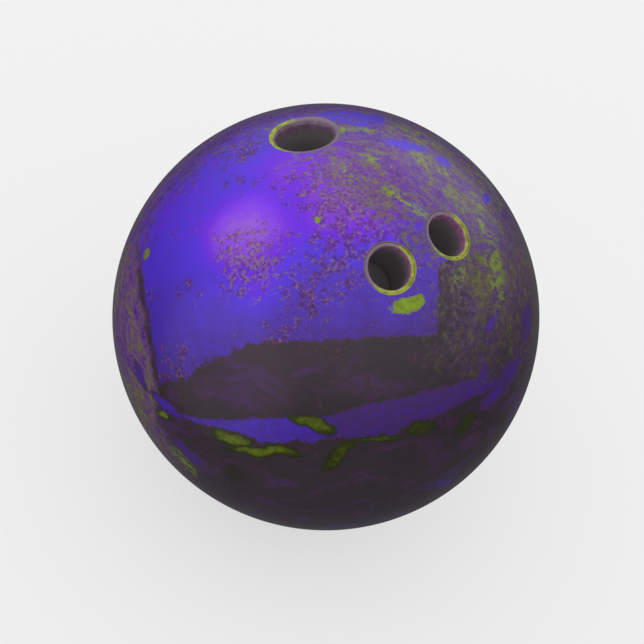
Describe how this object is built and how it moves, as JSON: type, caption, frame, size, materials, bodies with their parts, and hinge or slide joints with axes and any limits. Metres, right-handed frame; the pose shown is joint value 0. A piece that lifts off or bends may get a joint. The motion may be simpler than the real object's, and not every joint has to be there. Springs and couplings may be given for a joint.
{
  "type": "bowling ball",
  "caption": "Drilled bowling ball: swirled cast cover over a filler ball and weight block, with glued finger grips, a bored thumb slug and a locator pin.",
  "frame": {"origin": "centre of the ball", "axes": "+Z out through the middle of the grip, +Y towards the finger holes, -Y towards the thumb hole, +X towards the ring finger's hole and the locator pin"},
  "size_m": [0.217, 0.217, 0.217],
  "materials": {
    "cover": "high-gloss polished pearl resin, blue-violet with maroon and yellow-green swirls",
    "filler": "matt cast filler",
    "weight_block": "matt cast dense resin",
    "pin": "polished cast resin",
    "grip": "satin soft vinyl",
    "slug": "sanded and polished urethane"
  },
  "bodies": {
    "root": {"coverstock": "cover", "outer_core": "filler", "weight_block": "weight_block", "locator_pin": "pin", "finger_grip_middle": "grip", "finger_grip_ring": "grip", "thumb_slug": "slug"}
  },
  "joints": []
}
